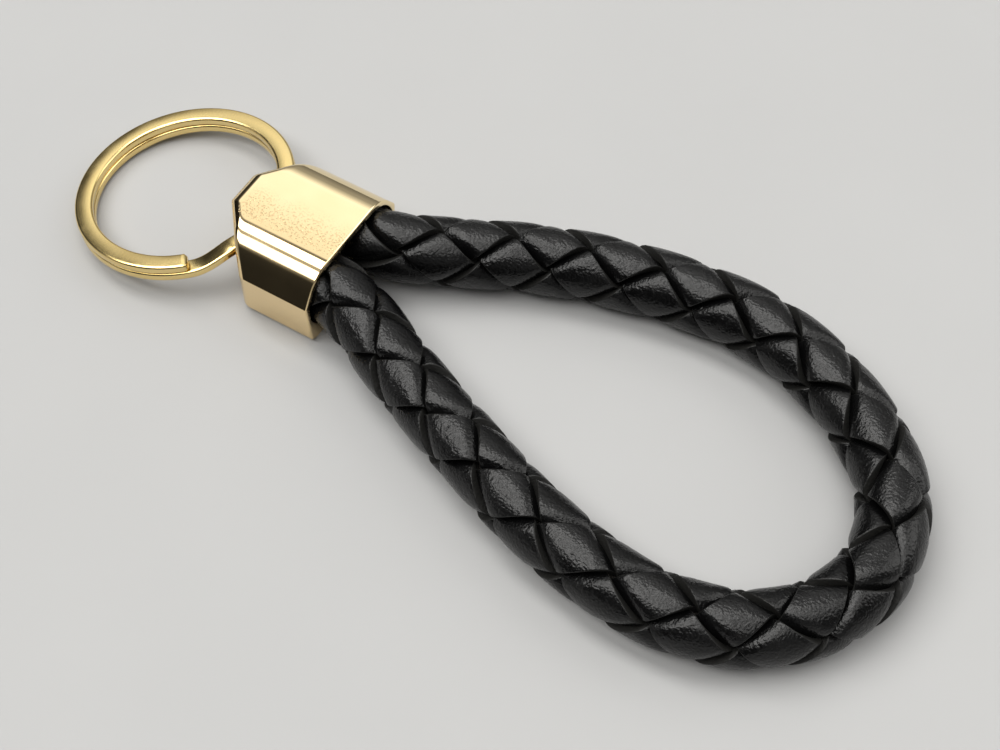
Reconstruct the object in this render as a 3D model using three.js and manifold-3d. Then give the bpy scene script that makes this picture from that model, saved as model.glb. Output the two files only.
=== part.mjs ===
// Wristlet keychain: a loop of round braided leather cord, both ends glued side by side in a
// flattened cast metal end cap, with a split ring through the cap's open nose.
// Millimetres, +Z up. The origin is on the cap's flat underside, the cap's length runs along X
// (split ring towards -X, leather loop towards +X) and the two cord ends lie apart along Y.
import * as THREE from 'three';
import { mergeVertices } from 'three/addons/utils/BufferGeometryUtils.js';
import Module from 'manifold-3d';

const wasm = await Module();
wasm.setup();

// ---- driving dimensions -------------------------------------------------------------------
const CORD_DIAMETER = 9.8;
const CORE_RADIUS = 2.0;
const STRAND_COUNT = 6;
const GAP = 0.3;
const FLOOR_CLEARANCE = 0.04;

const CAP_HEIGHT = 12.2;
const CAP_HALF_WIDTH = 10.95;
const RIDGE_HEIGHT = 7.7;
const FOOT_HALF_WIDTH = 10.5;
const FOOT_ROUND = 1.3;
const TOP_HALF_WIDTH = 7.9;
const TOP_ROUND = 6;
const CAP_MOUTH_X = 6.5;
const CAP_NOSE_X = -11.7;
const NOSE_HALF_WIDTH = 2.2;
const NOSE_WALL = 1.5;
const NOSE_ROLL = 2.2;
const SHOULDER_SLOPE = 1.22;
const SHOULDER_ROLL = 1.4;
const NOSE_CORNER_ROUND = 0.3;
const SHOULDER_CORNER_ROUND = 0.8;
const MOUTH_CORNER_ROUND = 0.3;
const MOUTH_BEVEL = 0.5;
const MOUTH_BEVEL_SEGMENTS = 2;
const TRIM_MARGIN = 0.05;
const OVERCUT = 1;
const OUTLINE_SEGMENTS = 5;

const POCKET_FLOOR_X = -3.1;
const POCKET_RADIUS = 5.1;
const CORD_SPACING = 10;
const PARTITION = 1.0;
const TUNNEL_HEIGHT = 9.0;
const TUNNEL_HALF_WIDTH = 9.2;

const GLUE_FACE_X = 4.5;
const CORD_END_X = -1.6;

const RING_OUTER_RADIUS = 16;
const WIRE_WIDTH = 2.6;
const WIRE_THICKNESS = 1.3;
const WIRE_EDGE_ROUND = 0.35;
const COIL_GAP = 0.08;
const WIRE_PLAY = 1.2;
const SPLIT_START = THREE.MathUtils.degToRad(-24);
const SPLIT_RAMP = THREE.MathUtils.degToRad(25);
const SPLIT_CLEARANCE = THREE.MathUtils.degToRad(1.5);
const RING_STEPS = 110;

const CORD_STEPS = 64;
const CORE_SIDES = 8;
const SECTION_SEGMENTS = 1;
const WELD_DISTANCE = 1e-4;
const CORD_AXIS_LOW = CORD_DIAMETER / 2 + FLOOR_CLEARANCE;

// ---- values that follow from them ---------------------------------------------------------
const capMiddleZ = CAP_HEIGHT / 2;
const legY = CORD_SPACING / 2;
const tunnelFrontX = CAP_NOSE_X + NOSE_WALL;
const tunnelBackX = POCKET_FLOOR_X - PARTITION;
const wireRadius = RING_OUTER_RADIUS - WIRE_WIDTH / 2;
const ringHalfHeight = WIRE_THICKNESS + COIL_GAP / 2;
const hingeX = tunnelFrontX + WIRE_WIDTH / 2 + WIRE_PLAY;
const ringReach = wireRadius + RING_OUTER_RADIUS;
const ringDroop = Math.asin((capMiddleZ - ringHalfHeight) / ringReach);

// The cord's centreline: out of the cap along one leg, round the loop and back in.
const CORD_ROUTE = [
  [CORD_END_X, legY, capMiddleZ],
  [3, legY, capMiddleZ],
  [7.2, 5.05, capMiddleZ],
  [13, 7.2, 5.75],
  [20, 11.1, 5.15],
  [27.5, 14.8, CORD_AXIS_LOW],
  [35, 17.4, CORD_AXIS_LOW],
  [43, 19.3, CORD_AXIS_LOW],
  [51, 20.4, CORD_AXIS_LOW],
  [59, 20.4, CORD_AXIS_LOW],
  [66.5, 18.7, CORD_AXIS_LOW],
  [73.5, 15.6, CORD_AXIS_LOW],
  [79.7, 11.4, CORD_AXIS_LOW],
  [84.6, 6, CORD_AXIS_LOW],
  [87.3, -0.8, CORD_AXIS_LOW],
  [87.2, -8.2, CORD_AXIS_LOW],
  [84.2, -15, CORD_AXIS_LOW],
  [78.8, -20.2, CORD_AXIS_LOW],
  [71.8, -23.2, CORD_AXIS_LOW],
  [63.9, -24, CORD_AXIS_LOW],
  [55.4, -23, CORD_AXIS_LOW],
  [46.3, -20.6, CORD_AXIS_LOW],
  [37, -17.2, CORD_AXIS_LOW],
  [27.5, -13.4, CORD_AXIS_LOW],
  [19.5, -10, 5.15],
  [13, -7.0, 5.75],
  [7.2, -5.05, capMiddleZ],
  [3, -legY, capMiddleZ],
  [CORD_END_X, -legY, capMiddleZ],
];

// ---- helpers ------------------------------------------------------------------------------
const axisX = new THREE.Vector3(1, 0, 0);
const axisY = new THREE.Vector3(0, 1, 0);
const axisZ = new THREE.Vector3(0, 0, 1);

function toSolid(geometry) {
  geometry.deleteAttribute('normal');
  geometry.deleteAttribute('uv');
  const merged = mergeVertices(geometry, WELD_DISTANCE);
  return new wasm.Manifold(new wasm.Mesh({
    numProp: 3,
    vertProperties: new Float32Array(merged.attributes.position.array),
    triVerts: new Uint32Array(merged.index.array),
  }));
}

function toGeometry(solid) {
  const mesh = solid.getMesh();
  const geometry = new THREE.BufferGeometry();
  geometry.setAttribute('position', new THREE.BufferAttribute(mesh.vertProperties, 3));
  geometry.setIndex(new THREE.BufferAttribute(mesh.triVerts, 1));
  geometry.computeVertexNormals();
  return geometry;
}

// An outline with each corner [x, y, round] softened over the length "round" on both sides.
function roundedShape(corners) {
  const shape = new THREE.Shape();
  corners.forEach(([x, y, round], i) => {
    const corner = new THREE.Vector2(x, y);
    const before = new THREE.Vector2(...corners.at(i - 1));
    const after = new THREE.Vector2(...corners[(i + 1) % corners.length]);
    const entry = before.sub(corner).setLength(round).add(corner);
    const exit = after.sub(corner).setLength(round).add(corner);
    if (i === 0) shape.moveTo(entry.x, entry.y);
    else shape.lineTo(entry.x, entry.y);
    shape.quadraticCurveTo(x, y, exit.x, exit.y);
  });
  shape.closePath();
  return shape;
}

// Extrudes a shape drawn in (Y, Z) along X, from startX to endX.
function extrudeAlongX(shape, startX, endX, extra = {}) {
  const options = {
    depth: endX - startX,
    curveSegments: OUTLINE_SEGMENTS,
    bevelEnabled: false,
    ...extra,
  };
  const geometry = new THREE.ExtrudeGeometry(shape, options);
  geometry.applyMatrix4(new THREE.Matrix4().makeBasis(axisY, axisZ, axisX));
  geometry.translate(startX, 0, 0);
  return geometry;
}

// A closed solid skinned over level outlines that all have the same number of points.
function stackOutlines(outlines) {
  const count = outlines[0].length;
  const index = [];
  for (let level = 0; level + 1 < outlines.length; level += 1) {
    for (let i = 0; i < count; i += 1) {
      const here = level * count + i;
      const next = level * count + (i + 1) % count;
      index.push(here, next, next + count, here, next + count, here + count);
    }
  }
  const top = (outlines.length - 1) * count;
  for (let i = 1; i + 1 < count; i += 1) {
    index.push(0, i + 1, i);
    index.push(top, top + i, top + i + 1);
  }
  const geometry = new THREE.BufferGeometry();
  geometry.setAttribute('position', new THREE.Float32BufferAttribute(outlines.flat(2), 3));
  geometry.setIndex(index);
  return geometry;
}

function sweep(shape, path, steps) {
  const options = { extrudePath: path, steps, curveSegments: SECTION_SEGMENTS };
  return new THREE.ExtrudeGeometry(shape, options);
}

// ---- end cap ------------------------------------------------------------------------------
// One side of the cross-section from underside to top, as [half width, height]: a rolled foot, a
// near-vertical side up to the ridge, then a sloped face that rolls over into the flat top.
function capLevels() {
  const rise = CAP_HEIGHT - RIDGE_HEIGHT;
  const slope = Math.atan2(rise, CAP_HALF_WIDTH - TOP_HALF_WIDTH);
  const rollLength = TOP_ROUND * Math.tan(slope / 2);
  const footCentre = FOOT_HALF_WIDTH - FOOT_ROUND;
  const topCentre = TOP_HALF_WIDTH - rollLength;
  const levels = [];
  for (let i = 0; i <= OUTLINE_SEGMENTS; i += 1) {
    const turn = (Math.PI / 2) * (i / OUTLINE_SEGMENTS);
    levels.push([
      footCentre + FOOT_ROUND * Math.sin(turn),
      FOOT_ROUND - FOOT_ROUND * Math.cos(turn),
    ]);
  }
  levels.push([CAP_HALF_WIDTH, RIDGE_HEIGHT]);
  for (let i = 2 * OUTLINE_SEGMENTS; i >= 0; i -= 1) {
    const turn = slope * (i / (2 * OUTLINE_SEGMENTS));
    levels.push([
      topCentre + TOP_ROUND * Math.sin(turn),
      CAP_HEIGHT - TOP_ROUND + TOP_ROUND * Math.cos(turn),
    ]);
  }
  return levels;
}

// How far an edge with a rolled top and bottom stands back at a height.
function rolledIn(height, radius) {
  const past = Math.min(radius, Math.max(0, radius - height, height - CAP_HEIGHT + radius));
  return radius - Math.sqrt(radius ** 2 - past ** 2);
}

// The cap's outline at one height: a short nose, two slanted shoulders and two long sides.
function capOutline([halfWidth, height]) {
  const noseX = CAP_NOSE_X + rolledIn(height, NOSE_ROLL);
  const backOff = rolledIn(height, SHOULDER_ROLL) * Math.hypot(1, SHOULDER_SLOPE);
  const noseY = NOSE_HALF_WIDTH + (noseX - CAP_NOSE_X) * SHOULDER_SLOPE - backOff;
  const sideX = CAP_NOSE_X + (halfWidth + backOff - NOSE_HALF_WIDTH) / SHOULDER_SLOPE;
  const shape = roundedShape([
    [noseX, -noseY, NOSE_CORNER_ROUND],
    [sideX, -halfWidth, SHOULDER_CORNER_ROUND],
    [CAP_MOUTH_X + OVERCUT, -halfWidth, MOUTH_CORNER_ROUND],
    [CAP_MOUTH_X + OVERCUT, halfWidth, MOUTH_CORNER_ROUND],
    [sideX, halfWidth, SHOULDER_CORNER_ROUND],
    [noseX, noseY, NOSE_CORNER_ROUND],
  ]);
  const points = shape.getPoints(OUTLINE_SEGMENTS).slice(1);
  return points.map((point) => [point.x, point.y, height]);
}

// Trims the mouth end flat, with a bevel round its outer edge.
function mouthTrim() {
  const section = new THREE.Shape();
  const levels = capLevels();
  section.moveTo(...levels[0]);
  levels.slice(1).forEach((level) => section.lineTo(...level));
  levels.reverse().forEach(([halfWidth, height]) => section.lineTo(-halfWidth, height));
  section.closePath();
  return extrudeAlongX(section, 2 * CAP_NOSE_X, CAP_MOUTH_X - MOUTH_BEVEL, {
    bevelEnabled: true,
    bevelThickness: MOUTH_BEVEL,
    bevelSize: MOUTH_BEVEL,
    bevelOffset: TRIM_MARGIN - MOUTH_BEVEL,
    bevelSegments: MOUTH_BEVEL_SEGMENTS,
  });
}

function slotShape(halfWidth, radius) {
  const shape = new THREE.Shape();
  const centre = halfWidth - radius;
  shape.absarc(centre, capMiddleZ, radius, -Math.PI / 2, Math.PI / 2);
  shape.absarc(-centre, capMiddleZ, radius, Math.PI / 2, 3 * Math.PI / 2);
  shape.closePath();
  return shape;
}

function endCap() {
  const body = toSolid(stackOutlines(capLevels().map(capOutline)));
  const pocketShape = slotShape(legY + POCKET_RADIUS, POCKET_RADIUS);
  const pocket = toSolid(extrudeAlongX(pocketShape, POCKET_FLOOR_X, CAP_MOUTH_X + OVERCUT));
  const tunnelShape = slotShape(TUNNEL_HALF_WIDTH, TUNNEL_HEIGHT / 2);
  const tunnel = toSolid(extrudeAlongX(tunnelShape, tunnelFrontX, tunnelBackX));
  const cap = body.intersect(toSolid(mouthTrim())).subtract(pocket).subtract(tunnel);
  return toGeometry(cap);
}

// ---- adhesive that holds both cord ends ---------------------------------------------------
function glueFill() {
  const clearRadius = POCKET_RADIUS - GAP;
  const fillShape = slotShape(legY + clearRadius, clearRadius);
  let fill = toSolid(extrudeAlongX(fillShape, POCKET_FLOOR_X + GAP, GLUE_FACE_X));
  for (const side of [-1, 1]) {
    const legShape = new THREE.Shape();
    legShape.absarc(side * legY, capMiddleZ, CORD_DIAMETER / 2 + GAP, 0, 2 * Math.PI);
    const leg = extrudeAlongX(legShape, CORD_END_X - GAP, GLUE_FACE_X + OVERCUT);
    fill = fill.subtract(toSolid(leg));
  }
  return toGeometry(fill);
}

// ---- braided cord -------------------------------------------------------------------------
const cordPath = new THREE.CatmullRomCurve3(
  CORD_ROUTE.map((point) => new THREE.Vector3(...point)), false, 'centripetal');

function cordCore() {
  const shape = new THREE.Shape();
  for (let i = 0; i < CORE_SIDES; i += 1) {
    const angle = (i + 0.5) * 2 * Math.PI / CORE_SIDES;
    const point = [CORE_RADIUS * Math.cos(angle), CORE_RADIUS * Math.sin(angle)];
    if (i === 0) shape.moveTo(...point);
    else shape.lineTo(...point);
  }
  shape.closePath();
  return sweep(shape, cordPath, CORD_STEPS);
}

// One leather strand's share of the jacket, as an equal sector round the core.
function leatherStrand(index) {
  const halfSector = Math.PI / STRAND_COUNT;
  const middle = 2 * halfSector * index;
  const outer = CORD_DIAMETER / 2;
  const inner = CORE_RADIUS + GAP;
  const outerHalf = halfSector - Math.asin(GAP / 2 / outer);
  const innerHalf = halfSector - Math.asin(GAP / 2 / inner);
  const polar = (radius, angle) => [radius * Math.cos(angle), radius * Math.sin(angle)];
  const shape = new THREE.Shape();
  shape.moveTo(...polar(outer, middle - outerHalf));
  shape.lineTo(...polar(outer, middle));
  shape.lineTo(...polar(outer, middle + outerHalf));
  shape.lineTo(...polar(inner, middle + innerHalf));
  shape.lineTo(...polar(inner, middle));
  shape.lineTo(...polar(inner, middle - innerHalf));
  shape.closePath();
  return sweep(shape, cordPath, CORD_STEPS);
}

// ---- split ring ---------------------------------------------------------------------------
// Nearly two turns of flat wire: a lower turn, a short ramp, then an upper turn.
class SplitRingPath extends THREE.Curve {
  getPoint(t, target = new THREE.Vector3()) {
    const turned = t * (4 * Math.PI - SPLIT_RAMP - SPLIT_CLEARANCE);
    const climb = THREE.MathUtils.smoothstep(turned, 2 * Math.PI - SPLIT_RAMP, 2 * Math.PI);
    const layer = (WIRE_THICKNESS + COIL_GAP) * (climb - 0.5);
    const angle = SPLIT_START + turned;
    return target.set(wireRadius * Math.cos(angle), wireRadius * Math.sin(angle), layer);
  }
}

function splitRing() {
  const wire = roundedShape([
    [-WIRE_THICKNESS / 2, -WIRE_WIDTH / 2, WIRE_EDGE_ROUND],
    [WIRE_THICKNESS / 2, -WIRE_WIDTH / 2, WIRE_EDGE_ROUND],
    [WIRE_THICKNESS / 2, WIRE_WIDTH / 2, WIRE_EDGE_ROUND],
    [-WIRE_THICKNESS / 2, WIRE_WIDTH / 2, WIRE_EDGE_ROUND],
  ]);
  return sweep(wire, new SplitRingPath(), RING_STEPS);
}

// ---- materials and assembly ---------------------------------------------------------------
const capGold = new THREE.MeshStandardMaterial({ color: 0xe8cf9c, roughness: 0.18, metalness: 1 });
const ringGold = new THREE.MeshStandardMaterial({ color: 0xd4ac52, roughness: 0.3, metalness: 1 });
const blackLeather = new THREE.MeshStandardMaterial({ color: 0x151516, roughness: 0.42 });
const coreFibre = new THREE.MeshStandardMaterial({ color: 0x2a2724, roughness: 0.95 });
const curedGlue = new THREE.MeshStandardMaterial({ color: 0xb9a878, roughness: 0.35 });

const keychain = new THREE.Group();

function addPiece(name, geometry, material, parent = keychain) {
  const mesh = new THREE.Mesh(geometry, material);
  mesh.name = name;
  parent.add(mesh);
  return mesh;
}

addPiece('end_cap', endCap(), capGold);
addPiece('glue_fill', glueFill(), curedGlue);
addPiece('cord_core', cordCore(), coreFibre);
for (let i = 0; i < STRAND_COUNT; i += 1) {
  addPiece(`leather_strand_${i + 1}`, leatherStrand(i), blackLeather);
}

const ringHinge = new THREE.Group();
ringHinge.position.set(hingeX, 0, capMiddleZ);
ringHinge.rotation.y = -ringDroop;
keychain.add(ringHinge);
addPiece('split_ring', splitRing(), ringGold, ringHinge).position.x = -wireRadius;

export default keychain;
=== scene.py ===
import math
import random

import bmesh
import bpy
import numpy as np
from mathutils import Matrix, Vector


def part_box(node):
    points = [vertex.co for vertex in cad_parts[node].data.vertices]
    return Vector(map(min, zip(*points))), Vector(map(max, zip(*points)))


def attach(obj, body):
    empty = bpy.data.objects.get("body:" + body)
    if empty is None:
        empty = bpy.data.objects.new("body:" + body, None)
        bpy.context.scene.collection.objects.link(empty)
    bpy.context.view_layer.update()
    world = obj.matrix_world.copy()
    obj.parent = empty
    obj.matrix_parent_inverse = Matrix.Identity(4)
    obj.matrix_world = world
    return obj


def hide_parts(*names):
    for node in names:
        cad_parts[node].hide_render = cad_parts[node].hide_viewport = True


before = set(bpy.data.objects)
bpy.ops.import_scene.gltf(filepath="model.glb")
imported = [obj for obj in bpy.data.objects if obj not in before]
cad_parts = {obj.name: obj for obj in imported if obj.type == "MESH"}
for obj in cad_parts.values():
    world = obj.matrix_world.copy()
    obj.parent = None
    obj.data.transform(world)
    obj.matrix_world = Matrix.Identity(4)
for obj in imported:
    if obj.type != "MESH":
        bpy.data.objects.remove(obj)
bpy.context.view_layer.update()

# Wristlet keychain in metres: a loop of six-strand braided leather cord, both ends glued in a
# flattened gold end cap, and a gold split ring through the cap's nose.

MM = 0.001
UP = np.array((0.0, 0.0, 1.0))

# ---- camera -------------------------------------------------------------------------------
CAMERA_AZIMUTH = math.radians(31.26)
CAMERA_ELEVATION = math.radians(55.64)
CAMERA_DISTANCE = 0.24012
CAMERA_TARGET = Vector((0.03332, -0.00521, 0.006))
CAMERA_FIELD = math.radians(30.64)
CAMERA_SENSOR_MM = 36
CAMERA_CLIP_START = 0.01


def add_camera():
    data = bpy.data.cameras.new("camera")
    data.sensor_width = CAMERA_SENSOR_MM
    data.lens = data.sensor_width / 2 / math.tan(CAMERA_FIELD / 2)
    data.clip_start = CAMERA_CLIP_START
    camera = bpy.data.objects.new("camera", data)
    away = Vector((
        math.sin(CAMERA_AZIMUTH) * math.cos(CAMERA_ELEVATION),
        -math.cos(CAMERA_AZIMUTH) * math.cos(CAMERA_ELEVATION),
        math.sin(CAMERA_ELEVATION),
    ))
    camera.location = CAMERA_TARGET + away * CAMERA_DISTANCE
    camera.rotation_euler = away.to_track_quat("Z", "Y").to_euler()
    bpy.context.scene.collection.objects.link(camera)
    bpy.context.scene.camera = camera


add_camera()

cap_low, cap_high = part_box("end_cap")
CAP_HEIGHT = cap_high[2]

# ---- cord route ---------------------------------------------------------------------------
CORD_DIAMETER = 0.0098
CAP_MIDDLE_Z = 0.0061
CORD_AXIS_LOW = 0.00494
CURVE_STEPS = 24
# The cord's centreline, from its end in the cap's far side, round the loop, to its other end.
CORD_ROUTE = (
    (-0.0016, 0.005, CAP_MIDDLE_Z),
    (0.003, 0.005, CAP_MIDDLE_Z),
    (0.0072, 0.00505, CAP_MIDDLE_Z),
    (0.013, 0.0072, 0.00575),
    (0.020, 0.0111, 0.00515),
    (0.0275, 0.0148, CORD_AXIS_LOW),
    (0.035, 0.0174, CORD_AXIS_LOW),
    (0.043, 0.0193, CORD_AXIS_LOW),
    (0.051, 0.0204, CORD_AXIS_LOW),
    (0.059, 0.0204, CORD_AXIS_LOW),
    (0.0665, 0.0187, CORD_AXIS_LOW),
    (0.0735, 0.0156, CORD_AXIS_LOW),
    (0.0797, 0.0114, CORD_AXIS_LOW),
    (0.0846, 0.006, CORD_AXIS_LOW),
    (0.0873, -0.0008, CORD_AXIS_LOW),
    (0.0872, -0.0082, CORD_AXIS_LOW),
    (0.0842, -0.015, CORD_AXIS_LOW),
    (0.0788, -0.0202, CORD_AXIS_LOW),
    (0.0718, -0.0232, CORD_AXIS_LOW),
    (0.0639, -0.024, CORD_AXIS_LOW),
    (0.0554, -0.023, CORD_AXIS_LOW),
    (0.0463, -0.0206, CORD_AXIS_LOW),
    (0.037, -0.0172, CORD_AXIS_LOW),
    (0.0275, -0.0134, CORD_AXIS_LOW),
    (0.0195, -0.010, 0.00515),
    (0.013, -0.007, 0.00575),
    (0.0072, -0.00505, CAP_MIDDLE_Z),
    (0.003, -0.005, CAP_MIDDLE_Z),
    (-0.0016, -0.005, CAP_MIDDLE_Z),
)


def catmull_rom(points, per_span):
    """Centripetal Catmull-Rom curve through the points, as an array of positions."""
    points = [np.array(p) for p in points]
    padded = [2 * points[0] - points[1]] + points + [2 * points[-1] - points[-2]]
    curve = []
    for p0, p1, p2, p3 in zip(padded, padded[1:], padded[2:], padded[3:]):
        d0, d1, d2 = (math.sqrt(np.linalg.norm(b - a)) for a, b in ((p0, p1), (p1, p2), (p2, p3)))
        start = ((p1 - p0) / d0 - (p2 - p0) / (d0 + d1) + (p2 - p1) / d1) * d1
        end = ((p2 - p1) / d1 - (p3 - p1) / (d1 + d2) + (p3 - p2) / d2) * d1
        for step in range(per_span):
            t = step / per_span
            curve.append(
                (2 * t**3 - 3 * t**2 + 1) * p1 + (t**3 - 2 * t**2 + t) * start
                + (3 * t**2 - 2 * t**3) * p2 + (t**3 - t**2) * end
            )
    curve.append(points[-1])
    return np.array(curve)


class CordLine:
    """The cord's centreline by distance from its first end, with a level frame along it."""

    def __init__(self, points):
        self.points = catmull_rom(points, CURVE_STEPS)
        steps = np.linalg.norm(np.diff(self.points, axis=0), axis=1)
        self.distance = np.concatenate(([0], np.cumsum(steps)))
        self.length = self.distance[-1]
        tangent = np.gradient(self.points, self.distance, axis=0)
        self.tangent = tangent / np.linalg.norm(tangent, axis=1)[:, None]

    def along(self, table, s):
        return np.stack([np.interp(s, self.distance, table[:, i]) for i in range(3)], axis=-1)

    def place(self, s, angle, radius):
        """Points at distance s along the cord, angle round it and radius from its centreline."""
        centre = self.along(self.points, s)
        tangent = self.along(self.tangent, s)
        side = np.cross(UP, tangent)
        side /= np.linalg.norm(side, axis=-1)[..., None]
        lift = np.cross(tangent, side)
        return centre + (np.cos(angle) * radius)[..., None] * side \
            + (np.sin(angle) * radius)[..., None] * lift


cord_line = CordLine(CORD_ROUTE)

# ---- mesh helpers -------------------------------------------------------------------------


def link_mesh(name, mesh):
    piece = bpy.data.objects.new(name, mesh)
    bpy.context.scene.collection.objects.link(piece)
    return piece


def filleted(corners, segments):
    """Points round a polygon whose corners [x, y, radius] are arcs."""
    points = []
    count = len(corners)
    for i, (x, y, radius) in enumerate(corners):
        corner = Vector((x, y))
        back = (Vector(corners[i - 1][:2]) - corner).normalized()
        ahead = (Vector(corners[(i + 1) % count][:2]) - corner).normalized()
        half = back.angle(ahead) / 2
        centre = corner + (back + ahead).normalized() * (radius / math.sin(half))
        start = corner + back * (radius / math.tan(half)) - centre
        sweep = math.pi - 2 * half
        for step in range(segments + 1):
            points.append(centre + Matrix.Rotation(sweep * step / segments, 2) @ start)
    return points


def grid_piece(name, rings, uv_length=1.0):
    """A closed solid skinned over rings of points, with both end rings filled. Its UV map goes
    from 0 to 1 round each ring and from 0 towards uv_length along the rings."""
    rings = np.asarray(rings)
    count, sides = rings.shape[:2]
    index = np.arange(count * sides).reshape(count, sides)
    faces = []
    for i in range(count - 1):
        for j in range(sides):
            k = (j + 1) % sides
            faces.append((index[i, j], index[i, k], index[i + 1, k], index[i + 1, j]))
    faces.append(tuple(index[0][::-1]))
    faces.append(tuple(index[-1]))
    mesh = bpy.data.meshes.new(name)
    mesh.from_pydata(rings.reshape(-1, 3).tolist(), [], [tuple(int(v) for v in f) for f in faces])
    uv = mesh.uv_layers.new(name="surface")
    corners = []
    for i in range(count - 1):
        for j in range(sides):
            for di, dj in ((0, 0), (0, 1), (1, 1), (1, 0)):
                corners += [(j + dj) / sides, (i + di) / count * uv_length]
    corners_of_end_faces = 2 * sides
    corners += [0.0, 0.0] * corners_of_end_faces
    uv.data.foreach_set("uv", corners)
    mesh.polygons.foreach_set("use_smooth", [True] * len(mesh.polygons))
    mesh.update()
    bm = bmesh.new()
    bm.from_mesh(mesh)
    bmesh.ops.recalc_face_normals(bm, faces=bm.faces)
    bm.to_mesh(mesh)
    bm.free()
    return link_mesh(name, mesh)


# ---- node helpers -------------------------------------------------------------------------


class Nodes:
    """Builds a material's node tree with short calls."""

    def __init__(self, name):
        self.material = bpy.data.materials.new(name)
        self.material.use_nodes = True
        self.tree = self.material.node_tree
        self.shader = self.tree.nodes["Principled BSDF"]

    def node(self, kind, **values):
        node = self.tree.nodes.new(kind)
        for key, value in values.items():
            if hasattr(node, key):
                setattr(node, key, value)
            else:
                node.inputs[key.replace("_", " ")].default_value = value
        return node

    def link(self, source, target):
        self.tree.links.new(source, target)

    def set(self, **values):
        for key, value in values.items():
            self.shader.inputs[key.replace("_", " ")].default_value = value

    def noise(self, vector, scale, detail=2.0, roughness=0.5):
        node = self.node("ShaderNodeTexNoise", Scale=scale, Detail=detail, Roughness=roughness)
        self.link(vector, node.inputs["Vector"])
        return node.outputs["Fac"]

    def stretch(self, vector, scale):
        node = self.node("ShaderNodeMapping")
        node.inputs["Scale"].default_value = scale
        self.link(vector, node.inputs["Vector"])
        return node.outputs["Vector"]

    def remap(self, value, from_low, from_high, to_low, to_high, smooth=False):
        node = self.node("ShaderNodeMapRange")
        node.interpolation_type = "SMOOTHSTEP" if smooth else "LINEAR"
        for slot, number in zip(range(1, 5), (from_low, from_high, to_low, to_high)):
            node.inputs[slot].default_value = number
        self.link(value, node.inputs[0])
        return node.outputs[0]

    def math(self, operation, first, second):
        node = self.node("ShaderNodeMath")
        node.operation = operation
        for slot, value in enumerate((first, second)):
            if isinstance(value, (int, float)):
                node.inputs[slot].default_value = value
            else:
                self.link(value, node.inputs[slot])
        return node.outputs[0]

    def mix(self, factor, first, second):
        node = self.node("ShaderNodeMix", data_type="RGBA")
        self.link(factor, node.inputs["Factor"])
        for slot, value in (("A", first), ("B", second)):
            socket = [s for s in node.inputs if s.name == slot and s.type == "RGBA"][0]
            if isinstance(value, tuple):
                socket.default_value = (*value, 1.0)
            else:
                self.link(value, socket)
        return [s for s in node.outputs if s.type == "RGBA"][0]

    def bump(self, height, distance, strength=1.0, after=None):
        node = self.node("ShaderNodeBump")
        node.inputs["Strength"].default_value = strength
        node.inputs["Distance"].default_value = distance
        self.link(height, node.inputs["Height"])
        if after is not None:
            self.link(after, node.inputs["Normal"])
        return node.outputs["Normal"]

    def position(self):
        return self.node("ShaderNodeTexCoord").outputs["Object"]


# ---- materials ----------------------------------------------------------------------------
# Scales count the features of a noise in a metre. Depths are in metres.
CAP_COLOURS = ((0.90, 0.73, 0.43), (0.93, 0.77, 0.47))
# Painted shade: a tan that stands in for the near side's reflection of the floor in shadow.
CAP_PAINTED_SHADE = (0.85, 0.66, 0.37)
CAP_DENT_COLOUR = (0.72, 0.52, 0.28)
CAP_ROUGHNESS = (0.05, 0.11)
CAP_WAVE_SCALE = 330
CAP_WAVE_DEPTH = 0.00001
CAP_PATCH_SCALE = 160
CAP_PATCH_LEVELS = (0.35, 0.7)
# Where the painted shade (a tan for the near side's reflection of the floor in shadow) and the pits
# set in, from none to all: y runs across the cap, x along it.
PAINTED_SHADE_Y = (0.003, -0.004)
PITTED_FAR_Y = (0.002, -0.0025)
PITTED_NEAR_Y = (-0.0047, -0.0042)
PITTED_NOSE_X = (-0.0098, -0.0085)
PATCH_WANDER = 0.002
PIT_SCALE = 3300
PIT_LEVELS = (0.36, 0.46)
PIT_DEPTH = 0.000006

RING_COLOURS = ((0.80, 0.61, 0.26), (0.84, 0.65, 0.29))
RING_ROUGHNESS = (0.14, 0.22)
RING_PATCH_SCALE = 300
RING_FINE_SCALE = 3500
RING_FINE_DEPTH = 0.000008

LEATHER_COLOURS = ((0.0008, 0.0008, 0.0009), (0.0022, 0.0022, 0.0023))
LEATHER_CUT_COLOUR = (0.006, 0.0058, 0.005)
LEATHER_ROUGHNESS = (0.23, 0.31)
# Roughness off the cut edge, where the shine above is always higher, and on it.
LEATHER_CUT_ROUGHNESS = (0.2, 0.65)
LEATHER_SPECULAR = 0.32
LEATHER_PATCH_SCALE = 330
GRAIN_SCALE = 3300
GRAIN_DEPTH = 0.00007
PEBBLE_SCALE = 2300.0
PEBBLE_DEPTH = 0.00004
CREASE_STRETCH = (4.0, 0.35, 1.0)
CREASE_SCALE = 2.4
CREASE_DEPTH = 0.00012

CORE_COLOURS = ((0.02, 0.018, 0.016), (0.07, 0.063, 0.055))
CORE_THREAD_SCALE = 1800
GLUE_COLOURS = ((0.30, 0.24, 0.14), (0.42, 0.35, 0.22))
GLUE_FLOW_SCALE = 500
FLOOR_COLOURS = ((0.35, 0.35, 0.35), (0.37, 0.37, 0.37))
FLOOR_MOTTLE_SCALE = 30
HIDDEN_BUMP_DEPTH = 0.0001

# Levels of the noise between which a patch fades from one colour, or shine, to another.
PATCH_LEVELS = (0.3, 0.7)
SHINE_LEVELS = (0.3, 0.75)


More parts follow.
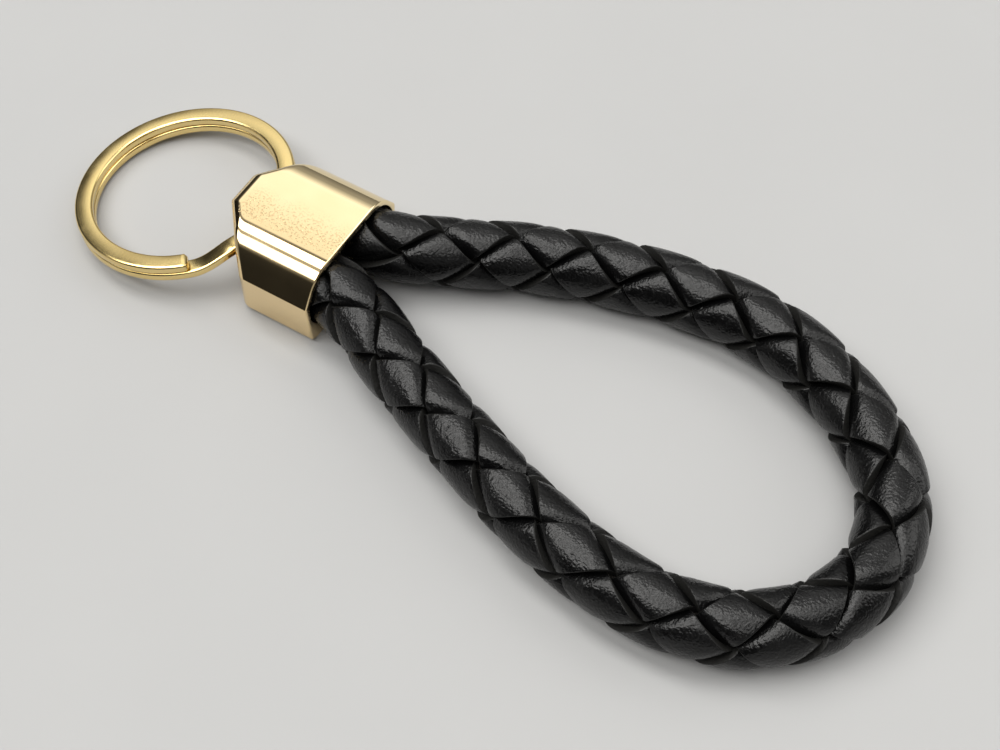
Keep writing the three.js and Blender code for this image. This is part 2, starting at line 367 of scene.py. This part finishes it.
def cap_gold():
    """Polished plating with painted shade, a tan towards the near side for its reflection of the
    floor in shadow, and a finely pitted strip.
    """
    n = Nodes("cap_gold")
    place = n.position()
    pits = n.noise(place, PIT_SCALE, detail=1.0)
    waves = n.noise(place, CAP_WAVE_SCALE, detail=1.0)
    patch = n.noise(place, CAP_PATCH_SCALE, detail=2.0)
    split = n.node("ShaderNodeSeparateXYZ")
    n.link(place, split.inputs[0])
    along, across = split.outputs[0], split.outputs[1]
    uneven_side = n.math("ADD", across, n.remap(patch, 0, 1, -PATCH_WANDER, PATCH_WANDER))
    pitted = n.math("MULTIPLY", n.remap(uneven_side, *PITTED_FAR_Y, 0, 1, smooth=True),
                    n.remap(across, *PITTED_NEAR_Y, 0, 1, smooth=True))
    pitted = n.math("MULTIPLY", pitted, n.remap(along, *PITTED_NOSE_X, 0, 1, smooth=True))
    dents = n.math("MULTIPLY", n.remap(pits, *PIT_LEVELS, 1, 0, smooth=True), pitted)
    unshaded_gold = n.mix(n.remap(patch, *CAP_PATCH_LEVELS, 0, 1), *CAP_COLOURS)
    # Painted shade: the near side turns tan, standing in for its reflection of the floor in shadow.
    tan = n.mix(n.remap(uneven_side, *PAINTED_SHADE_Y, 0, 1, smooth=True), unshaded_gold, CAP_PAINTED_SHADE)
    n.link(n.mix(dents, tan, CAP_DENT_COLOUR), n.shader.inputs["Base Color"])
    n.link(n.remap(patch, *SHINE_LEVELS, *CAP_ROUGHNESS), n.shader.inputs["Roughness"])
    soft = n.bump(waves, CAP_WAVE_DEPTH, strength=0.4)
    n.link(n.bump(dents, -PIT_DEPTH, strength=0.7, after=soft), n.shader.inputs["Normal"])
    n.set(Metallic=1.0)
    return n.material


def ring_gold():
    n = Nodes("ring_gold")
    place = n.position()
    patch = n.noise(place, RING_PATCH_SCALE, detail=2.0)
    fine = n.noise(place, RING_FINE_SCALE, detail=2.0, roughness=0.6)
    gold = n.mix(n.remap(patch, *PATCH_LEVELS, 0, 1), *RING_COLOURS)
    n.link(gold, n.shader.inputs["Base Color"])
    n.link(n.remap(patch, *PATCH_LEVELS, *RING_ROUGHNESS), n.shader.inputs["Roughness"])
    n.link(n.bump(fine, RING_FINE_DEPTH, strength=0.5), n.shader.inputs["Normal"])
    n.set(Metallic=1.0)
    return n.material


def black_leather():
    """Dyed leather: fine grain, pebbles and long creases, and a matt, paler cut edge."""
    n = Nodes("black_leather")
    place = n.position()
    surface = n.node("ShaderNodeUVMap", uv_map="surface").outputs["UV"]
    cut = n.node("ShaderNodeAttribute", attribute_name="cut_edge").outputs["Fac"]
    grain = n.noise(place, GRAIN_SCALE, detail=1.0)
    pebbles = n.node("ShaderNodeTexVoronoi", Scale=PEBBLE_SCALE, feature="SMOOTH_F1")
    n.link(place, pebbles.inputs["Vector"])
    creases = n.noise(n.stretch(surface, CREASE_STRETCH), CREASE_SCALE, detail=2.0)
    patch = n.noise(place, LEATHER_PATCH_SCALE, detail=3.0)
    dyed = n.mix(n.remap(patch, *PATCH_LEVELS, 0, 1), *LEATHER_COLOURS)
    n.link(n.mix(cut, dyed, LEATHER_CUT_COLOUR), n.shader.inputs["Base Color"])
    shine = n.remap(patch, *SHINE_LEVELS, *LEATHER_ROUGHNESS)
    matt = n.remap(cut, 0, 1, *LEATHER_CUT_ROUGHNESS)
    n.link(n.math("MAXIMUM", shine, matt), n.shader.inputs["Roughness"])
    creased = n.bump(creases, CREASE_DEPTH, strength=0.8)
    pebbled = n.bump(pebbles.outputs["Distance"], PEBBLE_DEPTH, strength=1.0, after=creased)
    n.link(n.bump(grain, GRAIN_DEPTH, strength=1.0, after=pebbled), n.shader.inputs["Normal"])
    n.set(Specular_IOR_Level=LEATHER_SPECULAR)
    return n.material


def core_fibre():
    n = Nodes("core_fibre")
    threads = n.noise(n.position(), CORE_THREAD_SCALE, detail=3.0)
    n.link(n.mix(threads, *CORE_COLOURS), n.shader.inputs["Base Color"])
    n.link(n.bump(threads, HIDDEN_BUMP_DEPTH, strength=0.8), n.shader.inputs["Normal"])
    n.set(Roughness=0.95)
    return n.material


def cured_glue():
    n = Nodes("cured_glue")
    flow = n.noise(n.position(), GLUE_FLOW_SCALE, detail=2.0)
    n.link(n.mix(flow, *GLUE_COLOURS), n.shader.inputs["Base Color"])
    n.link(n.bump(flow, HIDDEN_BUMP_DEPTH, strength=0.6), n.shader.inputs["Normal"])
    n.set(Roughness=0.32)
    return n.material


def floor_paint():
    n = Nodes("floor_paint")
    mottle = n.noise(n.position(), FLOOR_MOTTLE_SCALE, detail=3.0)
    n.link(n.mix(mottle, *FLOOR_COLOURS), n.shader.inputs["Base Color"])
    n.set(Roughness=0.75)
    return n.material


# ---- braided cord -------------------------------------------------------------------------
# The braid is laid out on two numbers that count strands: p along one winding direction and q
# along the other. A rising strand keeps a whole p while q runs on, a falling one the other way
# round. At each whole p and q two strands cross, and the upper one changes from each crossing to
# the next. The distance along the cord grows with p + q and the angle round it with q - p.
BRAID_PITCH = 0.0108
COLUMN_ANGLE = math.pi / 3
BRAID_TURN = math.radians(97.5)
STRANDS_EACH_WAY = 3
# Uneven lay of the braid: at a distance along the cord, how far it has crept along, in metres,
# and turned, in degrees.
BRAID_DRIFT = (
    (0, 0, -20), (0.012, 0.0016, -18), (0.035, 0.0007, -9), (0.057, 0, 0),
    (0.086, -0.0005, -1), (0.097, -0.0007, -1), (0.108, -0.0010, -4), (0.119, -0.0018, -14),
    (0.130, -0.0031, -15), (0.141, -0.0042, -14), (0.155, -0.0030, -27), (0.168, -0.0028, -35),
    (0.181, -0.0029, -43), (0.195, -0.0030, -55), (0.2025, -0.0031, -58), (0.206, 0.0008, -58),
)
# Half a strand's width, as a share of the spacing of the strands in one set.
STRAND_HALF_WIDTH = 0.435
STRAND_THICKNESS = 0.0014
STRAND_LIFT = 0.0009
STRAND_CROWN = 0.0001
STRAND_EDGE_ROUND = 0.00017
STRAND_SPACING = 0.0072
STRAND_ARC_STEPS = 4
STRAND_TOP_STATIONS = (0.75, 0.5, 0.25, 0, -0.25, -0.5, -0.75)
CUT_EDGE_FROM = 0.955
CUT_EDGE_FADE = 0.04
WIDEST_STRAND = 1.05
END_MARGIN = 0.03
# How much each strand wanders sideways, in width and in height, each with its own seed.
SWAY = 0.018
SWAY_SEED = 100
WIDTH_WOBBLE = 0.035
WIDTH_SEED = 200
HEIGHT_WOBBLE = 0.00006
HEIGHT_SEED = 300
UV_PER_STATION = 0.5
JACKET_RADIUS = CORD_DIAMETER / 2 - STRAND_LIFT - STRAND_THICKNESS / 2 - STRAND_CROWN
WAVE_SHARPNESS = 2.5
STEPS_PER_CROSSING = 14


def smoothstep(x):
    x = np.clip(x, 0, 1)
    return x * x * (3 - 2 * x)


def strand_section():
    """Points round a flat strip: across from -1 to 1, and depth from -1 to 1."""
    half_width = STRAND_HALF_WIDTH * STRAND_SPACING
    half_depth = STRAND_THICKNESS / 2
    corner = STRAND_EDGE_ROUND
    top = [Vector((half_width * k, half_depth)) for k in STRAND_TOP_STATIONS]
    outline = filleted([
        (-half_width, -half_depth, corner), (half_width, -half_depth, corner),
        (half_width, half_depth, corner), (-half_width, half_depth, corner),
    ], STRAND_ARC_STEPS)
    third_corner_end = 3 * (STRAND_ARC_STEPS + 1)
    outline = outline[:third_corner_end] + top + outline[third_corner_end:]
    across = np.array([p.x for p in outline]) / half_width
    depth = np.array([p.y for p in outline]) / half_depth
    return across, depth


def uneven(seed, places, size):
    """A smooth repeatable wobble, one new value at each whole place."""
    source = random.Random(seed)
    values = [source.uniform(-size, size) for _ in range(int(np.max(places)) + 4)]
    return np.interp(places, np.arange(len(values)), values)


def leather_strand(name, own, rising, material):
    """One strand of the braid. Its own count stays whole and the other count runs along it."""
    across, depth = strand_section()
    count = 2 * cord_line.length / BRAID_PITCH
    margin = WIDEST_STRAND * STRAND_HALF_WIDTH + END_MARGIN
    other = np.arange(margin - own, count - own - margin, 1 / STEPS_PER_CROSSING)
    started = other - other[0]
    seed = 10 * own + (5 if rising else 0)
    sway = uneven(seed + SWAY_SEED, started, SWAY)[:, None]
    width = STRAND_HALF_WIDTH * (1 + uneven(seed + WIDTH_SEED, started, WIDTH_WOBBLE)[:, None])
    swell = uneven(seed + HEIGHT_SEED, started, HEIGHT_WOBBLE)[:, None]
    offset = own + sway + across[None, :] * width
    running = np.broadcast_to(other[:, None], offset.shape)
    p, q = (offset, running) if rising else (running, offset)
    wave = np.cos(math.pi * (running - own))
    lift = STRAND_LIFT * np.tanh(WAVE_SHARPNESS * wave) / math.tanh(WAVE_SHARPNESS)
    if rising:
        lift = -lift
    crown = STRAND_CROWN * (1 - across[None, :] ** 2)
    radius = JACKET_RADIUS + lift + swell + crown + depth[None, :] * STRAND_THICKNESS / 2
    even = BRAID_PITCH * (p + q) / 2
    stops, creep, twist = np.array(BRAID_DRIFT).T
    distance = even + np.interp(even, stops, creep)
    angle = BRAID_TURN + COLUMN_ANGLE * (q - p) + np.radians(np.interp(even, stops, twist))
    piece = grid_piece(name, cord_line.place(distance, angle, radius), len(other) * UV_PER_STATION)
    edge = smoothstep((np.abs(across) - CUT_EDGE_FROM) / CUT_EDGE_FADE)
    cut = piece.data.attributes.new("cut_edge", "FLOAT", "POINT")
    cut.data.foreach_set("value", np.tile(edge, len(other)))
    piece.data.materials.append(material)
    return piece


CORE_RADIUS = 0.0016
CORE_SIDES = 24
CORE_STATION = 0.001
CORE_END_GAP = 0.0005
CORE_TWIST_LENGTH = 0.012
PLIES = 3
PLY_GROOVE = 0.14


def twisted_core(name, material):
    """Plies twisted together, filling the middle of the braid."""
    turn = np.linspace(0, 2 * math.pi, CORE_SIDES, endpoint=False)
    places = np.arange(CORE_END_GAP, cord_line.length - CORE_END_GAP, CORE_STATION)
    angle = turn[None, :] + (places / CORE_TWIST_LENGTH * 2 * math.pi)[:, None]
    lobes = CORE_RADIUS * (1 - PLY_GROOVE + PLY_GROOVE * np.abs(np.cos(PLIES / 2 * turn)))
    distance = np.broadcast_to(places[:, None], angle.shape)
    rings = cord_line.place(distance, angle, np.broadcast_to(lobes[None, :], angle.shape))
    piece = grid_piece(name, rings)
    piece.data.materials.append(material)
    return piece


def add_cord():
    leather = black_leather()
    strands = []
    for rising in (True, False):
        for own in range(STRANDS_EACH_WAY):
            number = len(strands) + 1
            strand = leather_strand(f"braid_strand_{number}", own, rising, leather)
            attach(strand, "loop")
            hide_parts(f"leather_strand_{number}")
            strands.append(strand)
    core = twisted_core("twisted_core", core_fibre())
    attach(core, "loop")
    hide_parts("cord_core")


add_cord()

# ---- end cap ------------------------------------------------------------------------------
CAP_NOSE_X = cap_low[0]
CAP_MOUTH_X = cap_high[0]
CAP_HALF_WIDTH = 0.01095
RIDGE_HEIGHT = 0.0077
FOOT_HALF_WIDTH = 0.0105
FOOT_ROUND = 0.0013
TOP_HALF_WIDTH = 0.0079
TOP_ROUND = 0.006
RIDGE_ROUND = 0.00025
NOSE_HALF_WIDTH = 0.0022
SHOULDER_SLOPE = 1.22
NOSE_ROLL = 0.0022
SHOULDER_ROLL = 0.0014
NOSE_CORNER_ROUND = 0.0008
SHOULDER_CORNER_ROUND = 0.0017
MOUTH_OUTER_ROUND = 0.00045
MOUTH_INNER_ROUND = 0.0002
MOUTH_STEPS = 6
NOSE_WALL = 0.0015
POCKET_FLOOR_X = -0.0031
POCKET_RADIUS = 0.0051
POCKET_HALF_WIDTH = 0.0101
TUNNEL_HALF_HEIGHT = 0.0045
TUNNEL_HALF_WIDTH = 0.0092
PARTITION = 0.001
EDGE_SOFTENING = 0.00022
# Radii of the corners that don't show: on the section's middle line, and past the mouth.
MIDDLE_CORNER_ROUND = MM / 100
CUT_END_ROUND = MM / 10
SHARP_ANGLE = math.radians(50)
LEVEL_ARC_STEPS = 14
OUTLINE_ARC_STEPS = 10
SLOT_STEPS = 40
TUNNEL_STEPS = 36
# How far the trimming block stands outside the cap's sides, so that only its rolled edge cuts.
TRIM_CLEARANCE = MM / 20


def cap_levels():
    """One side of the cap's cross-section from underside to top, as (half width, height)."""
    section = filleted([
        (0, 0, MIDDLE_CORNER_ROUND), (FOOT_HALF_WIDTH, 0, FOOT_ROUND),
        (CAP_HALF_WIDTH, RIDGE_HEIGHT, RIDGE_ROUND), (TOP_HALF_WIDTH, CAP_HEIGHT, TOP_ROUND),
        (0, CAP_HEIGHT, MIDDLE_CORNER_ROUND),
    ], LEVEL_ARC_STEPS)
    return [tuple(p) for p in section if p.x > MM]


def rolled_in(height, radius):
    """How far an edge with a rolled top and bottom stands back at a height."""
    past = max(radius - height, height - (CAP_HEIGHT - radius), 0)
    return radius - math.sqrt(radius**2 - min(past, radius)**2)


def cap_body():
    """The solid casting from level outlines: nose, two slanted shoulders and two long sides."""
    reach = CAP_MOUTH_X + 2 * MM
    slant = math.hypot(1, SHOULDER_SLOPE)
    rings = []
    for half_width, height in cap_levels():
        nose_x = CAP_NOSE_X + rolled_in(height, NOSE_ROLL)
        back_off = rolled_in(height, SHOULDER_ROLL) * slant
        nose_y = NOSE_HALF_WIDTH + (nose_x - CAP_NOSE_X) * SHOULDER_SLOPE - back_off
        side_x = CAP_NOSE_X + (half_width + back_off - NOSE_HALF_WIDTH) / SHOULDER_SLOPE
        outline = filleted([
            (nose_x, -nose_y, NOSE_CORNER_ROUND), (side_x, -half_width, SHOULDER_CORNER_ROUND),
            (reach, -half_width, CUT_END_ROUND), (reach, half_width, CUT_END_ROUND),
            (side_x, half_width, SHOULDER_CORNER_ROUND), (nose_x, nose_y, NOSE_CORNER_ROUND),
        ], OUTLINE_ARC_STEPS)
        rings.append([(p.x, p.y, height) for p in outline])
    return grid_piece("cast_end_cap", rings)


def slot_outline(radius, half_width, segments):
    """A round-ended slot as (y, z) points."""
    middle = CAP_HEIGHT / 2
    straight = half_width - radius
    points = []
    for end, first_turn in ((1, -math.pi / 2), (-1, math.pi / 2)):
        for step in range(segments + 1):
            turn = first_turn + math.pi * step / segments
            points.append(Vector((end * straight + radius * math.cos(turn),
                                  middle + radius * math.sin(turn))))
    return points


def mouth_trim():
    """A block with the cap's cross-section, ending in a rolled edge at the mouth."""
    middle = CAP_HEIGHT / 2
    levels = cap_levels()
    outline = levels + [(-half_width, height) for half_width, height in reversed(levels)]
    stations = [(CAP_NOSE_X - MM, -TRIM_CLEARANCE)]
    for step in range(MOUTH_STEPS + 1):
        turn = math.pi / 2 * step / MOUTH_STEPS
        stations.append((CAP_MOUTH_X - MOUTH_OUTER_ROUND * (1 - math.sin(turn)),
                         MOUTH_OUTER_ROUND * (1 - math.cos(turn)) - TRIM_CLEARANCE))
    rings = []
    for x, inset in stations:
        narrow = 1 - inset / CAP_HALF_WIDTH
        low = 1 - inset / middle
        rings.append([(x, y * narrow, middle + (z - middle) * low) for y, z in outline])
    return grid_piece("mouth_trim", rings)


def pocket_cutter():
    """The pocket for the cord ends, flared where it meets the mouth."""
    stations = [(POCKET_FLOOR_X, 0.0)]
    for step in range(MOUTH_STEPS + 1):
        turn = math.pi / 2 * step / MOUTH_STEPS
        stations.append((CAP_MOUTH_X - MOUTH_INNER_ROUND * (1 - math.sin(turn)),
                         MOUTH_INNER_ROUND * (1 - math.cos(turn))))
    stations.append((CAP_MOUTH_X + MM, MOUTH_INNER_ROUND))
    rings = []
    for x, flare in stations:
        outline = slot_outline(POCKET_RADIUS + flare, POCKET_HALF_WIDTH + flare, SLOT_STEPS)
        rings.append([(x, p.x, p.y) for p in outline])
    return grid_piece("pocket", rings)


def tunnel_cutter():
    """The open tunnel behind the nose bar, which the split ring passes through."""
    outline = slot_outline(TUNNEL_HALF_HEIGHT, TUNNEL_HALF_WIDTH, TUNNEL_STEPS)
    ends = (CAP_NOSE_X + NOSE_WALL, POCKET_FLOOR_X - PARTITION)
    return grid_piece("tunnel", [[(x, p.x, p.y) for p in outline] for x in ends])


def carve(piece, cutter, operation):
    modifier = piece.modifiers.new(operation, "BOOLEAN")
    modifier.operation = operation
    modifier.solver = "EXACT"
    modifier.object = cutter
    apply_modifiers(piece)
    bpy.data.objects.remove(cutter)


def apply_modifiers(piece):
    graph = bpy.context.evaluated_depsgraph_get()
    finished = bpy.data.meshes.new_from_object(piece.evaluated_get(graph))
    piece.modifiers.clear()
    piece.data = finished


def end_cap_piece(material):
    piece = cap_body()
    carve(piece, mouth_trim(), "INTERSECT")
    carve(piece, pocket_cutter(), "DIFFERENCE")
    carve(piece, tunnel_cutter(), "DIFFERENCE")
    bevel = piece.modifiers.new("soft_edges", "BEVEL")
    bevel.width = EDGE_SOFTENING
    bevel.segments = 3
    bevel.limit_method = "ANGLE"
    bevel.angle_limit = SHARP_ANGLE
    apply_modifiers(piece)
    finish_shading(piece)
    piece.data.materials.clear()
    piece.data.materials.append(material)
    return piece


def finish_shading(piece):
    mesh = piece.data
    mesh.polygons.foreach_set("use_smooth", [True] * len(mesh.polygons))
    mesh.set_sharp_from_angle(angle=SHARP_ANGLE)
    weighted = piece.modifiers.new("weighted", "WEIGHTED_NORMAL")
    weighted.keep_sharp = True


def add_cap():
    cap = end_cap_piece(cap_gold())
    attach(cap, "loop")
    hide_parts("end_cap")
    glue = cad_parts["glue_fill"]
    for slot in glue.material_slots:
        slot.material = cured_glue()


add_cap()

# ---- split ring ---------------------------------------------------------------------------
RING_OUTER_RADIUS = 0.016
WIRE_WIDTH = 0.0026
WIRE_THICKNESS = 0.0013
WIRE_CORNER_ROUND = 0.0004
WIRE_CORNER_STEPS = 5
WIRE_END_ROUND = 0.0005
WIRE_END_TAPER = 0.35
WIRE_STATIONS = 420
COIL_GAP = 0.00008
SPLIT_START = math.radians(-24)
SPLIT_RAMP = math.radians(25)
SPLIT_CLEARANCE = math.radians(1.5)
WIRE_PLAY = 0.0012


def split_ring_piece(material):
    """Nearly two turns of flat wire, stepping from one layer to the other, drooped to the floor."""
    radius = RING_OUTER_RADIUS - WIRE_WIDTH / 2
    total = 4 * math.pi - SPLIT_RAMP - SPLIT_CLEARANCE
    turned = np.linspace(0, total, WIRE_STATIONS)
    climb = smoothstep((turned - (2 * math.pi - SPLIT_RAMP)) / SPLIT_RAMP)
    layer = (WIRE_THICKNESS + COIL_GAP) * (climb - 0.5)
    angle = SPLIT_START + turned
    end_distance = np.minimum(turned, total - turned) * radius
    end_arc = np.sqrt(1 - (1 - np.clip(end_distance / WIRE_END_ROUND, 0, 1)) ** 2)
    end_scale = 1 - WIRE_END_TAPER + WIRE_END_TAPER * end_arc
    wide, deep, corner = WIRE_WIDTH / 2, WIRE_THICKNESS / 2, WIRE_CORNER_ROUND
    section = filleted([
        (-wide, -deep, corner), (wide, -deep, corner),
        (wide, deep, corner), (-wide, deep, corner),
    ], WIRE_CORNER_STEPS)
    hinge_x = CAP_NOSE_X + NOSE_WALL + WIRE_WIDTH / 2 + WIRE_PLAY
    half_height = WIRE_THICKNESS + COIL_GAP / 2
    droop = math.asin((CAP_HEIGHT / 2 - half_height) / (radius + RING_OUTER_RADIUS))
    to_cap = np.array((math.cos(droop), 0, math.sin(droop)))
    across = np.array((0, 1, 0))
    normal = np.cross(to_cap, across)
    centre = np.array((hinge_x, 0, CAP_HEIGHT / 2)) - radius * to_cap
    rings = []
    for a, z, scale in zip(angle, layer, end_scale):
        outward = math.cos(a) * to_cap + math.sin(a) * across
        rings.append([
            centre + outward * (radius + p.x * scale) + normal * (z + p.y * scale)
            for p in section
        ])
    piece = grid_piece("split_ring_wire", rings)
    piece.data.materials.append(material)
    return piece


def add_ring():
    ring = split_ring_piece(ring_gold())
    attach(ring, "ring")
    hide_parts("split_ring")


add_ring()

# ---- floor and light ----------------------------------------------------------------------
FLOOR_REACH = 1.5


def add_floor():
    mesh = bpy.data.meshes.new("floor")
    corners = [(x * FLOOR_REACH, y * FLOOR_REACH, 0) for x, y in ((-1, -1), (1, -1), (1, 1), (-1, 1))]
    mesh.from_pydata(corners, [], [(0, 1, 2, 3)])
    mesh.materials.append(floor_paint())
    link_mesh("floor", mesh)


# Brightness of the studio by angle over the object, from the far horizon (0) to the near one
# (180): of the whole room, of a banded softbox, of a low one at the loop's end and of the
# front fill.
ROOM_BANDS = (
    (0, 0.16), (20, 0.27), (50, 0.26), (62, 0.12), (110, 0.1), (140, 0.03), (180, 0.02),
)
WINDOW_BANDS = (
    (0, 0.0), (26, 0.1), (36, 0.45), (50, 1.2), (58, 1.15), (62, 0.95), (64, 0.25), (66, 0.05),
    (70, 0.1), (73, 7.0), (91, 7.0), (94, 0.4), (102, 0.4), (105, 7.0), (122, 7.0), (128, 0.2),
    (136, 0.0),
)
END_BANDS = ((15, 0.0), (25, 2.4), (65, 2.4), (75, 0.0))
FRONT_BANDS = ((128, 0.0), (140, 0.36), (180, 0.3))
# How strongly each of those shows, from the ring's end (-1) to the loop's end (1).
ROOM_SIDES = ((-1.0, 0.1), (-0.82, 0.15), (-0.74, 0.4), (-0.66, 1.0), (1.0, 1.0))
WINDOW_SIDES = ((-0.74, 0.0), (-0.64, 1.0), (-0.15, 1.0), (0.1, 0.5), (0.45, 0.45), (0.58, 0.0))
END_SIDES = ((0.38, 0.0), (0.48, 1.0), (0.78, 1.0), (0.88, 0.0))
FRONT_SIDES = ((-0.7, 1.0), (-0.55, 0.0), (0.15, 0.0), (0.4, 1.0))
SKY_PEAK = 7.0
SKY_WARM = (1.0, 0.99, 0.965)


def level_ramp(tree, source, stops):
    """A value that runs through (position from 0 to 1, level) stops."""
    ramp = tree.nodes.new("ShaderNodeValToRGB")
    elements = ramp.color_ramp.elements
    while len(elements) < len(stops):
        elements.new(0.5)
    for element, (position, level) in zip(elements, stops):
        element.position = position
        element.color = (*(level / SKY_PEAK,) * 3, 1)
    tree.links.new(source, ramp.inputs[0])
    return sky_math(tree, "MULTIPLY", ramp.outputs[0], SKY_PEAK)


def sky_math(tree, operation, first, second):
    node = tree.nodes.new("ShaderNodeMath")
    node.operation = operation
    for slot, value in enumerate((first, second)):
        if isinstance(value, (int, float)):
            node.inputs[slot].default_value = value
        else:
            tree.links.new(value, node.inputs[slot])
    return node.outputs[0]


def add_sky():
    """A studio sky: four lights, each a level by angle times a level from end to end."""
    world = bpy.data.worlds.new("studio")
    world.use_nodes = True
    bpy.context.scene.world = world
    tree = world.node_tree
    background = tree.nodes["Background"]
    place = tree.nodes.new("ShaderNodeTexCoord")
    split = tree.nodes.new("ShaderNodeSeparateXYZ")
    tree.links.new(place.outputs["Generated"], split.inputs[0])
    angle = sky_math(tree, "ARCTAN2", split.outputs["Z"], split.outputs["Y"])
    over = sky_math(tree, "DIVIDE", angle, math.pi)
    along = sky_math(tree, "MULTIPLY", sky_math(tree, "ADD", split.outputs["X"], 1.0), 0.5)
    total = 0.0
    for bands, sides in ((ROOM_BANDS, ROOM_SIDES), (WINDOW_BANDS, WINDOW_SIDES),
                         (END_BANDS, END_SIDES), (FRONT_BANDS, FRONT_SIDES)):
        band = level_ramp(tree, over, [(degrees / 180, level) for degrees, level in bands])
        side = level_ramp(tree, along, [((x + 1) / 2, level) for x, level in sides])
        total = sky_math(tree, "ADD", sky_math(tree, "MULTIPLY", band, side), total)
    tree.links.new(total, background.inputs[1])
    background.inputs[0].default_value = (*SKY_WARM, 1)


add_floor()
add_sky()
bpy.context.scene.view_settings.view_transform = "Standard"
